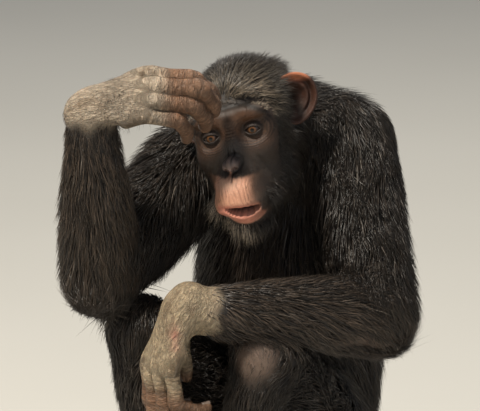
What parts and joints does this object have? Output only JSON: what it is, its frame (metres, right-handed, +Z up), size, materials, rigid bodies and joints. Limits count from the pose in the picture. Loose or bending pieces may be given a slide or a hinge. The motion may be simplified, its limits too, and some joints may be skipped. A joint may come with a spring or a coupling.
{
  "type": "chimpanzee model",
  "caption": "Life-size still model of a young chimpanzee that sits hunched, with the right hand raised to its brow and the left arm laid across its raised knees",
  "frame": {"origin": "on the floor, under the middle of the flat patch of the rump that the animal sits on", "axes": "+Z up, -Y the way the animal's front faces, +X the animal's left, in metres"},
  "size_m": [0.3727, 0.4119, 0.5398],
  "materials": {
    "coat": "long black hair with a brown-grey sheen, in overlapping locks",
    "face_skin": "dark grey-brown bare skin, pale pink at the lips",
    "hand_skin": "pale wrinkled bare skin",
    "ear_skin": "thin orange-brown bare skin",
    "eye": "wet amber-brown"
  },
  "bodies": {
    "root": {"head": "face_skin", "neck": "coat", "torso": "coat", "pelvis": "coat", "ear_left": "ear_skin", "ear_right": "ear_skin", "eye_left": "eye", "eye_right": "eye", "upper_arm_left": "coat", "upper_arm_right": "coat", "forearm_left": "coat", "forearm_right": "coat", "hand_left": "hand_skin", "hand_right": "hand_skin", "thigh_left": "coat", "thigh_right": "coat", "shin_left": "coat", "shin_right": "coat", "foot_left": "hand_skin", "foot_right": "hand_skin"}
  },
  "joints": []
}
